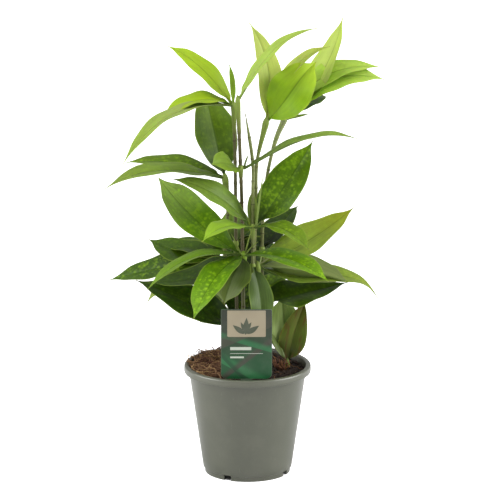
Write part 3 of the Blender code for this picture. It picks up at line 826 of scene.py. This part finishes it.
def grow_leaf(form, leaf, foot, seed, grown, strips, steps):
    """One closed blade: grooved upper face, keeled lower face and a thin waved margin."""
    chance = np.random.default_rng(seed)
    tone = TONES[leaf.tone]
    root, heart, tip = (paint(*colour) for colour in tone[:3])
    waves = chance.uniform(1.6, 2.9)
    phases = chance.uniform(0, tau, 2)
    warmth = chance.uniform(0.92, 1.08)
    length = hypot(leaf.reach, leaf.climb) + abs(leaf.bow)
    sheet = bmesh.ops.create_grid(form.bm, x_segments=strips, y_segments=steps, size=0.5)["verts"]
    form.begin(sheet)
    upper = set(sheet)
    rows = []
    for step in range(steps + 1):
        t = 0.5 - 0.5 * cos(pi * step / steps)
        rows.append((t, half_width(leaf, t), *blade_frame(leaf, foot, t)))
    for vertex in sheet:
        spread = vertex.co.x * 2
        across = copysign(abs(spread) ** 1.25, spread)
        vertex[form.blade] = (across, round((vertex.co.y + 0.5) * steps), 1)
    faces = list({face for vertex in sheet for face in vertex.link_faces})
    bmesh.ops.solidify(form.bm, geom=faces, thickness=0.01)
    for vertex in form.members():
        across, step, _ = vertex[form.blade]
        t, half, rib, side, face = rows[round(step)]
        reach = abs(across)
        bend = STALK_FOLD + (FOLD - STALK_FOLD) * held((t - 0.02) / 0.14)
        lift = half * (bend * reach + QUILT * sin(pi * reach))
        ripple = sin(tau * waves * t + phases[0 if across < 0 else 1])
        lift += half * MARGIN_WAVE * leaf.wave * ripple * reach * reach * sin(pi * t)
        lift -= GROOVE * exp(-(across * half / 0.6) ** 2) * min(1.0, half / 3)
        if vertex not in upper:
            body = BLADE_EDGE + (BLADE_BODY - BLADE_EDGE) * (1 - reach * reach)
            keel = KEEL * (1 - t) ** 1.3 * exp(-(across * half / KEEL_HALF) ** 2)
            lift -= body + keel
        vertex.co = (rib + side * (across * half) + face * lift) * MM
        if t < 0.5:
            colour = lerp(root, heart, min(1.0, t / 0.3))
        else:
            colour = lerp(heart, tip, (t - 0.5) * 2)
        # Painted shade at the stalk of a grown blade, partly its own darker green.
        depth = FOOT_SHADE + (1 - FOOT_SHADE) * min(1.0, t / 0.45) if grown else 1.0
        vertex[form.tint] = (colour[0] * warmth * depth, colour[1] * depth, colour[2] * depth, 1)
        vertex[form.blade] = (across, t, 1 if vertex in upper else 0)
        vertex[form.place] = (across * half, t * length, seed * 37.7)
        vertex[form.marks] = (tone.speckle, tone.wither, 0)
    form.close()


def add_collar(form, profile, centre, direction, tint):
    """A collar or cap round a cane's axis."""
    form.spin(profile, COLLAR_SIDES, (0.4, 0.02, 0.7))
    turn = upright_to(direction)
    for vertex in form.members():
        angle = atan2(vertex.co.y, vertex.co.x)
        vertex[form.tint] = (*tint, 1)
        vertex[form.place] = (angle * 4, vertex.co.z / MM, form.count)
        vertex.co = turn @ vertex.co + centre * MM
    form.close()


def grow_sheath(form, points, whorl, tint):
    """A leaf sheath that wraps the cane under its node and follows its bends."""
    low = CANE_RADIUS + 0.16
    rows = 9
    profile = [(CANE_RADIUS + 0.02, 0.0), (CANE_RADIUS + 0.02, -whorl.sheath + 0.25)]
    for row in range(rows + 1):
        share = row / rows
        profile.append((low + (whorl.swell - low) * share ** 1.6, -whorl.sheath * (1 - share)))
    form.spin(profile, CANE_SIDES, (0.4, 0.3, 0.8))
    frames = {}
    for vertex in form.members():
        drop = round(vertex.co.z / MM, 3)
        if drop not in frames:
            centre, direction = point_at_level(points, whorl.level + drop)
            frames[drop] = centre, upright_to(direction)
        centre, turn = frames[drop]
        angle = atan2(vertex.co.y, vertex.co.x)
        share = held(1 + drop / whorl.sheath) ** 0.6
        vertex[form.tint] = (*lerp(cane_colour(whorl.cane, whorl.level + drop), tint, share), 1)
        vertex[form.place] = (angle * 3, drop, form.count)
        vertex.co = centre * MM + turn @ Vector((vertex.co.x, vertex.co.y, 0))
    form.close()


def build_whorl(name, whorl, finishes):
    """The leaves of one node with the sleeve that carries them."""
    points = CANES[whorl.cane]
    centre, direction = point_at_level(points, whorl.level)
    inner = CANE_RADIUS + 0.08
    swell = whorl.swell
    form = Form()
    tint = paint(*TONES[whorl.sheath_tone].heart)
    if whorl.level >= points[-1][2]:
        profile = [(0, -0.6), (swell - 0.2, -0.6), (swell, 0.2), (swell, 1.6), (swell - 0.15, 3.0),
                   (swell - 0.6, 4.6), (swell - 1.1, 6.0), (swell - 1.7, 7.2), (0, 8.0)]
        root = centre + direction * CAP_ROOT
        offset = CAP_ROOT_OUT
    else:
        profile = [(inner, -0.8), (swell - 0.1, -0.8), (swell + 0.1, 0.3), (swell, 1.4), (inner + 0.6, 2.6),
                   (inner + 0.25, COLLAR_HALF), (inner, COLLAR_HALF)]
        root = centre
        offset = CANE_RADIUS + CLEARANCE + BASE_WALL / 2
    add_collar(form, profile, centre, direction, tint)
    grow_sheath(form, points, whorl, tint)
    for index, leaf in enumerate(whorl.leaves):
        small = leaf.width < SMALL_WIDTH
        grown = whorl.slot == "leaf_mature" and not small
        strips, steps = (8, 24) if small else (BLADE_STRIPS, BLADE_STEPS)
        foot = root + toward(leaf.heading) * offset
        grow_leaf(form, leaf, foot, int(whorl.level) * 10 + index, grown, strips, steps)
    piece = form.finish(name + "_detail", finishes[whorl.slot])
    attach(piece, "root")
    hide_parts(name)


def cane_colour(name, level):
    """A cane's green at a height, browner on the old canes."""
    young = CANES[name][-1][2] > YOUNG_END
    share = held((level - SOIL_LINE) / 240)
    colour = lerp(paint(104, 104, 64), paint(140, 152, 86) if young else paint(112, 122, 64), share)
    return lerp(colour, paint(88, 77, 50), BROWN_CANES.get(name, 0.0))


def build_cane(name, points, finishes):
    """A round cane with swollen ringed nodes."""
    chance = np.random.default_rng(int(points[-1][2] * 7 + 100 + points[0][0]))
    steps = max(24, int((points[-1][2] - points[0][2]) / CANE_STEP))
    route = smooth_route(points, steps + 1)
    bm = bmesh.new()
    cane = bm.verts.layers.float_vector.new("cane")
    tint = bm.verts.layers.float_color.new("tint")
    bmesh.ops.create_grid(bm, x_segments=CANE_SIDES, y_segments=steps, size=0.5)
    first_node = chance.uniform(0, NODE_SPACING)
    for vertex in bm.verts:
        turn = (vertex.co.x + 0.5) * tau
        step = round((vertex.co.y + 0.5) * steps)
        here = Vector(route[step])
        ahead = Vector(route[min(steps, step + 1)] - route[max(0, step - 1)]).normalized()
        across = ahead.cross(Vector((0, 1, 0))).normalized()
        gap = (here.z - first_node) % NODE_SPACING
        gap = min(gap, NODE_SPACING - gap)
        swell = exp(-(gap / 1.6) ** 2)
        line = exp(-(gap / 0.7) ** 2)
        radius = CANE_RADIUS - 0.12 + 0.30 * swell - 0.14 * exp(-((gap - 1.4) / 0.5) ** 2)
        left = min(step, steps - step)
        radius *= sqrt(1 - (1 - min(1.0, left / 1.5)) ** 2) * 0.999 + 0.001
        if name == "cane_spear":
            radius *= min(1.0, 0.14 + (steps - step) / steps * 9)
        around = across * cos(turn) + across.cross(ahead) * sin(turn)
        vertex.co = (here + around * radius) * MM
        vertex[tint] = (*cane_colour(name, here.z), 1)
        vertex[cane] = (cos(turn) * 0.8 + sin(turn) * 0.3, here.z, line)
    bmesh.ops.remove_doubles(bm, verts=bm.verts[:], dist=0.000004)
    bmesh.ops.holes_fill(bm, edges=[edge for edge in bm.edges if edge.is_boundary], sides=0)
    turn_outward(bm)
    piece = object_from(bm, name + "_detail", finishes["cane_bark"], 180)
    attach(piece, "root")
    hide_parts(name)


def wall_radius(height):
    """Outer radius of the pot's tapered wall."""
    top = POT_HEIGHT - RIM_DEPTH
    return BASE_RADIUS + (RIM_INNER_RADIUS - BASE_RADIUS) * (height - FOOT_HEIGHT) / (top - FOOT_HEIGHT)


def arc(centre_radius, centre_height, radius, start, end, steps):
    """Points of a rounded corner, from one angle to another, in degrees."""
    turns = [radians(start + (end - start) * step / steps) for step in range(steps + 1)]
    return [(centre_radius + radius * cos(turn), centre_height + radius * sin(turn))
            for turn in turns]


def cut(piece, tools):
    """Cut the tools out of a piece, then remove them."""
    group = bpy.data.collections.new(piece.name + "_tools")
    bpy.context.scene.collection.children.link(group)
    for tool in tools:
        bpy.context.scene.collection.objects.unlink(tool)
        group.objects.link(tool)
    modifier = piece.modifiers.new("cut", "BOOLEAN")
    modifier.operation = "DIFFERENCE"
    modifier.operand_type = "COLLECTION"
    modifier.collection = group
    modifier.solver = "EXACT"
    bpy.context.view_layer.update()
    result = bpy.data.meshes.new_from_object(
        piece.evaluated_get(bpy.context.evaluated_depsgraph_get()))
    piece.modifiers.remove(modifier)
    piece.data = result
    for tool in tools:
        bpy.data.objects.remove(tool, do_unlink=True)
    bpy.data.collections.remove(group)


def notch_tool(heading):
    """A rounded block that cuts one drain notch into the foot ring."""
    below = -1.0
    bm = bmesh.new()
    bmesh.ops.create_cube(bm, size=1)
    bmesh.ops.scale(bm, vec=(NOTCH_DEPTH * MM, NOTCH_WIDTH * MM, (NOTCH_HEIGHT - below) * MM),
                    verts=bm.verts[:])
    upright = [edge for edge in bm.edges if all(v.co.z > 0 for v in edge.verts)]
    bmesh.ops.bevel(bm, geom=upright, offset=0.6 * MM, affect="EDGES", segments=3, profile=0.5, material=-1)
    bmesh.ops.translate(bm, vec=(FOOT_RADIUS * MM, 0, (NOTCH_HEIGHT + below) / 2 * MM), verts=bm.verts[:])
    bmesh.ops.rotate(bm, verts=bm.verts[:], cent=(0, 0, 0), matrix=Matrix.Rotation(heading, 3, "Z"))
    return object_from(bm, "notch")


def drain_tool(x, y):
    bm = bmesh.new()
    bmesh.ops.create_cone(bm, cap_ends=True, segments=24, radius1=DRAIN_RADIUS * MM,
                          radius2=DRAIN_RADIUS * MM, depth=10 * MM)
    bmesh.ops.translate(bm, vec=(x * MM, y * MM, 4 * MM), verts=bm.verts[:])
    return object_from(bm, "drain")


def build_pot(finishes):
    """The nursery pot with its rolled rim, foot ring, drain notches and drain holes."""
    top = POT_HEIGHT - RIM_DEPTH
    under_rim = POT_HEIGHT - RIM_WALL
    lip = wall_radius(top)
    skirt = RIM_RADIUS - RIM_WALL
    shoulder = RIM_INNER_RADIUS + RIM_WALL
    foot_inside = FOOT_RADIUS - FOOT_WALL
    corner = FLOOR_LEVEL + FILLET
    levels = (14, 26, 38, 50, 62, 74, 86)
    profile = [(foot_inside, 0.4), (foot_inside + 0.4, 0), (FOOT_RADIUS - 0.5, 0)]
    profile += arc(FOOT_RADIUS - 0.5, 0.5, 0.5, -60, 0, 3)
    profile += [(FOOT_RADIUS, FOOT_HEIGHT - 0.9), (FOOT_RADIUS + 0.25, FOOT_HEIGHT - 0.45),
                (BASE_RADIUS - 0.4, FOOT_HEIGHT - 0.05), (BASE_RADIUS, FOOT_HEIGHT + 0.4)]
    profile += [(wall_radius(height), height) for height in levels]
    profile += [(wall_radius(top - 3.0), top - 3.0), (lip - 0.05, top - 0.6), (lip + 0.35, top - 0.1),
                (lip + 0.45, top + 0.8), (shoulder, under_rim - 1.0), (shoulder + 0.5, under_rim - 0.5),
                (skirt - 0.5, under_rim - 0.5), (skirt, under_rim - 1.0), (skirt, top + 0.4)]
    profile += arc(RIM_RADIUS - RIM_WALL / 2, top + 0.6, RIM_WALL / 2, 180, 360, 6)
    profile += [(RIM_RADIUS + 0.12, top + 2.6), (RIM_RADIUS - 0.05, top + 4.4)]
    profile += arc(RIM_RADIUS - 1.75, POT_HEIGHT - 1.75, 1.75, 10, 90, 7)
    profile += arc(RIM_INNER_RADIUS + 1.3, POT_HEIGHT - 1.3, 1.3, 90, 180, 6)
    profile += [(lip - WALL + 0.2, top + 1.0)]
    profile += [(wall_radius(height) - WALL, height) for height in (top - 1.0, *reversed(levels))]
    profile += arc(wall_radius(corner) - WALL - FILLET, corner, FILLET, 0, -90, 4)
    profile += [(0, FLOOR_LEVEL), (0, FLOOR_LEVEL - WALL), (foot_inside, FLOOR_LEVEL - WALL)]
    piece = object_from(turned_solid(profile, POT_SEGMENTS), "pot_moulded", finishes["pot_plastic"])
    headings = [radians(NOTCH_HEADING + 90 * index) for index in range(4)]
    tools = [notch_tool(heading) for heading in headings] + [drain_tool(0.0, 0.0)]
    for heading in headings:
        tools.append(drain_tool(DRAIN_RING * cos(heading), DRAIN_RING * sin(heading)))
    cut(piece, tools)
    piece.data.shade_smooth()
    piece.data.set_sharp_from_angle(angle=radians(35))
    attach(piece, "root")
    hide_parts("pot")


def soil_top(x, y):
    """The finished surface: the solid's level with clods and pits on it."""
    lumps = (sin(x * 0.31 + 1.1) * cos(y * 0.27 - 0.4)
             + 0.6 * sin(x * 0.62 - y * 0.48 + 2.0))
    middle = max(0.0, 1 - hypot(x, y) / RIM_INNER_RADIUS)
    level = SOIL_EDGE + SOIL_LEAN * (y - x) / 80 + SOIL_MOUND * middle + SOIL_LUMPS * lumps
    return level + SOIL_PITS * noise.fractal(Vector((x * 0.16, y * 0.16, 3.0)), 0.8, 2.1, 4)


def fibre_path(chance, x, y, edge, length, hump, pile=0.0, rise=0.0):
    """A curled way over the soil from a point, inside the pot or draped over its rim."""
    turn = chance.uniform(0, tau)
    curl = chance.uniform(-2.2, 2.2) / FIBRE_STEPS
    path = []
    for step in range(FIBRE_STEPS + 1):
        share = step / FIBRE_STEPS
        height = soil_top(x, y) + 0.2 + pile + rise * share + hump * sin(pi * share)
        reach = RIM_RADIUS - 2.5 if height > POT_HEIGHT + 0.4 else edge - 0.6
        away = hypot(x, y)
        if away > reach:
            x, y = x * reach / away, y * reach / away
        path.append(Vector((x, y, height)))
        x += cos(turn) * length / FIBRE_STEPS
        y += sin(turn) * length / FIBRE_STEPS
        turn += curl
    return path


def lay_fibre(form, path, thick, colour):
    """One thin fibre along its path."""
    sheet = bmesh.ops.create_grid(form.bm, x_segments=4, y_segments=FIBRE_STEPS, size=0.5)["verts"]
    for vertex in sheet:
        step = round((vertex.co.y + 0.5) * FIBRE_STEPS)
        roll = (vertex.co.x + 0.5) * tau
        ahead = (path[min(FIBRE_STEPS, step + 1)] - path[max(0, step - 1)]).normalized()
        side = ahead.cross(Vector((0, 0, 1))).normalized()
        up = side.cross(ahead)
        wide = thick * (0.35 if step in (0, FIBRE_STEPS) else 1.0)
        vertex.co = (path[step] + (side * cos(roll) + up * sin(roll)) * wide) * MM
        vertex[form.tint] = (*colour, 1)
    bmesh.ops.remove_doubles(form.bm, verts=sheet, dist=0.000002)


def build_ground(edge, finishes):
    """The soil's body with its rough surface."""
    floor = FLOOR_LEVEL + 0.1
    corner = floor + FILLET
    profile = [(0, floor), (wall_radius(corner) - SOIL_GAP - FILLET - 0.1, floor),
               (wall_radius(corner) - SOIL_GAP - 0.1, corner),
               (wall_radius(SOIL_EDGE - 12) - SOIL_GAP - 0.1, SOIL_EDGE - 12)]
    profile += [(edge * (1 - ring / SOIL_RINGS), SOIL_EDGE) for ring in range(SOIL_RINGS + 1)]
    bm = turned_solid(profile, SOIL_SEGMENTS)
    for vertex in bm.verts:
        if vertex.co.z > (SOIL_EDGE - 1) * MM:
            vertex.co.z = soil_top(vertex.co.x / MM, vertex.co.y / MM) * MM
    return object_from(bm, "soil_ground", finishes["soil"], 180)


def build_clods(chance, edge, finishes):
    """Loose crumbs, paler at the back left and darker at the right and front, as painted light and shade."""
    form = Form()
    for index in range(CLODS):
        angle = chance.uniform(0, tau)
        radius = (edge - 2.0) * sqrt(chance.uniform(0, 1))
        x, y = radius * cos(angle), radius * sin(angle)
        size = chance.uniform(0.6, 2.6) * (1.3 if chance.uniform() < 0.15 else 0.8)
        clod = bmesh.ops.create_icosphere(form.bm, subdivisions=1, radius=1)["verts"]
        form.begin(clod)
        stretch = chance.uniform(0.6, 1.2, 3)
        shade = chance.uniform(0.7, 1.5)
        # Painted light and shade: the crumbs are paler at the back left and darker towards the right and the
        # front.
        lit_share = held((12 - x) / 30) * held((y + 50) / 60, 0.3)
        colour = lerp(paint(40, 26, 18), paint(84, 50, 32), lit_share * chance.uniform(0.5, 1.2))
        for vertex in clod:
            bump = 1 + 0.35 * noise.noise(vertex.co * 1.4 + Vector((index, 0, 0)))
            vertex.co = Vector([a * b for a, b in zip(vertex.co, stretch)]) * (size * bump)
            vertex.co = (vertex.co + Vector((x, y, soil_top(x, y) + size * 0.15))) * MM
            vertex[form.tint] = (colour[0] * shade, colour[1] * shade, colour[2] * shade, 1)
    return form.finish("soil_clods", finishes["crumb"], 180)


def build_fibres(chance, edge, finishes):
    """A mat of coconut fibre, piled up at the left, and a dried tuft at the right."""
    form = Form()
    for index in range(FIBRES):
        left = index % 5 < 4
        angle = radians(chance.uniform(*MAT_HEADINGS)) if left else chance.uniform(0, tau)
        radius = (edge - 1.5) * sqrt(chance.uniform(0.12, 1))
        x, y = radius * cos(angle), radius * sin(angle)
        if left:
            pile = FIBRE_PILE * held((radius - 22) / 24) * chance.uniform(0.0, 1.0)
            path = fibre_path(chance, x, y, edge, chance.uniform(7, 24), chance.uniform(0.2, 3.6), pile)
            gold = (0.2 + 0.8 * pile / FIBRE_PILE) * chance.uniform() ** 1.2
            colour = lerp(paint(88, 46, 28), paint(220, 178, 122), gold)
        else:
            # The fibres at the right are darker: painted shade of the soil's right side.
            path = fibre_path(chance, x, y, edge, chance.uniform(4, 12), chance.uniform(0.1, 1.4))
            gold = chance.uniform() ** (1.2 if radius > 44 else 2.4)
            colour = lerp(paint(52, 32, 21), paint(150, 106, 68), gold)
        lay_fibre(form, path, chance.uniform(0.18, 0.42), colour)
    for _ in range(TUFT_FIBRES):
        x, y = chance.uniform(27, 37), chance.uniform(-4, 8)
        path = fibre_path(chance, x, y, edge, chance.uniform(3, 8), 0.5, rise=chance.uniform(2, 11))
        colour = lerp(paint(92, 52, 30), paint(164, 116, 70), chance.uniform() ** 1.5)
        lay_fibre(form, path, chance.uniform(0.2, 0.5), colour)
    bmesh.ops.holes_fill(form.bm, edges=[rim for rim in form.bm.edges if rim.is_boundary], sides=0)
    turn_outward(form.bm)
    return form.finish("soil_fibres", finishes["fibre"], 180)


def build_soil(finishes):
    """Potting soil: a rough ground, loose clods and a mat of coconut fibre."""
    edge = wall_radius(SOIL_EDGE - 2) - SOIL_GAP
    chance = np.random.default_rng(11)
    for piece in (build_ground(edge, finishes), build_clods(chance, edge, finishes),
                  build_fibres(chance, edge, finishes)):
        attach(piece, "root")
        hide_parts("soil")


def card_outline(inset=0.0):
    """The card's outline with its stake, in x and height."""
    half = CARD_WIDTH / 2 - inset
    stake = STAKE_WIDTH / 2 - inset
    bend = CARD_CORNER - inset
    right = arc(half - 1.2, CARD_TOP - inset - 1.2, 1.2, 90, 0, 3)
    right += arc(half - bend, CARD_BOTTOM + inset + bend, bend, 0, -90, 8)
    right += [(stake, CARD_BOTTOM + inset), (stake, STAKE_FOOT + STAKE_POINT)]
    return right + [(0, STAKE_FOOT + inset)] + [(-x, z) for x, z in reversed(right)]


def card_sheet(name, outline, front, depth, material, bevel=0.0):
    """A flat shape of the card, standing upright at a given depth."""
    bm = bmesh.new()
    corners = [bm.verts.new(((CARD_CENTRE + x) * MM, front * MM, z * MM)) for x, z in outline]
    moved = bmesh.ops.extrude_face_region(bm, geom=[bm.faces.new(corners)])
    back = [item for item in moved["geom"] if isinstance(item, bmesh.types.BMVert)]
    bmesh.ops.translate(bm, verts=back, vec=(0, depth * MM, 0))
    turn_outward(bm)
    if bevel:
        rims = [edge for edge in bm.edges if abs(edge.verts[0].co.y - edge.verts[1].co.y) < 1e-7]
        bmesh.ops.bevel(bm, geom=rims, offset=bevel * MM, affect="EDGES", segments=2, profile=0.5,
                        material=-1)
    piece = object_from(bm, name, material, 30)
    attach(piece, "root")
    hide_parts("card_label")


def leaf_shape(x, z, length, width, lean, steps=10):
    """Outline of a plain printed leaf."""
    across, up = sin(radians(lean)), cos(radians(lean))
    points = []
    for side, order in ((1, range(steps)), (-1, range(steps, 0, -1))):
        for step in order:
            t = step / steps
            spread = side * width / 2 * sin(pi * t ** 0.85) * (1 - 0.15 * t)
            points.append((x + across * length * t + up * spread, z + up * length * t - across * spread))
    return points


def build_card(finishes):
    """A bare card: slanted facets, a taupe field with a plain sprig, and pale bars."""
    front = CARD_FRONT - CARD_THICKNESS / 2
    card_sheet("card_blank", card_outline(), front, CARD_THICKNESS, finishes["card_plastic"], 0.12)
    ground = [(x, z) for x, z in card_outline(0.35) if z > CARD_BOTTOM]
    card_sheet("card_ground", ground, front - LAYER, LAYER, finishes["card_facets"])
    half = CARD_WIDTH / 2 - FIELD_MARGIN
    field = arc(half - 0.6, CARD_TOP - FIELD_TOP - 0.6, 0.6, 90, 0, 4)
    field += arc(half - 1.2, CARD_TOP - FIELD_BOTTOM + 1.2, 1.2, 0, -90, 4)
    field += [(-x, z) for x, z in reversed(field)]
    card_sheet("card_field", field, front - 2 * LAYER, LAYER, finishes["card_taupe"])
    for index, leaf in enumerate(SPRIG):
        rise = (1 + 0.3 * index) * LAYER
        card_sheet(f"card_sprig_{index}", leaf_shape(*leaf), front - 2 * LAYER - rise, rise,
                   finishes["card_ink"])
    for index, (x, z, wide, high) in enumerate(BARS):
        bar = [(x, z), (x + wide, z), (x + wide, z + high), (x, z + high)]
        card_sheet(f"card_bar_{index}", bar, front - 2 * LAYER, LAYER, finishes["card_pale"])


def build_room():
    """Floor, light and camera."""
    scene = bpy.context.scene
    bm = bmesh.new()
    bmesh.ops.create_grid(bm, x_segments=2, y_segments=2, size=8)
    object_from(bm, "floor", floor_material())
    world = bpy.data.worlds.new("studio")
    world.use_nodes = True
    sky = world.node_tree.nodes["Background"]
    sky.inputs["Color"].default_value = (1.0, 1.0, 1.0, 1)
    sky.inputs["Strength"].default_value = SKY_STRENGTH
    scene.world = world
    for name, strength, spread, turn in LAMPS:
        lamp = bpy.data.lights.new(name, "SUN")
        lamp.energy = strength
        lamp.angle = radians(spread)
        placed(name, lamp).rotation_euler = [radians(value) for value in turn]
    lens = bpy.data.cameras.new("camera")
    lens.sensor_width = 36
    lens.lens = CAMERA_LENS
    lens.clip_end = 50
    camera = placed("camera", lens)
    pitch = radians(CAMERA_PITCH)
    camera.location = CAMERA_TARGET - Vector((0, cos(pitch), -sin(pitch))) * CAMERA_DISTANCE
    camera.rotation_euler = (pi / 2 - pitch, 0, 0)
    scene.camera = camera
    scene.view_settings.view_transform = "Standard"


def main():
    surface = build_leaf_surface()
    grime = build_grime()
    finishes = {
        "leaf_young": leaf_material("leaf_young", surface, paint(180, 200, 70), 0.42, 0.28, 0.20),
        "leaf_mature": leaf_material("leaf_mature", surface, paint(152, 190, 40), 0.36, 0.60, 0.06),
        "cane_bark": cane_material(),
        "pot_plastic": pot_material(grime),
        "soil": soil_material(),
        "crumb": tinted_material("soil_crumb", 0.85, 900.0, 0.0006),
        "fibre": tinted_material("coconut_fibre", 0.7, 1400.0, 0.0001),
        "card_facets": facet_material(grime),
    }
    for name, (ink, sheen) in INKS.items():
        finishes[name] = print_material(name, ink, sheen, grime)
    build_pot(finishes)
    build_soil(finishes)
    build_card(finishes)
    for name, points in CANES.items():
        build_cane(name, points, finishes)
    for name, whorl in WHORLS.items():
        build_whorl(name, whorl, finishes)
    build_room()


main()
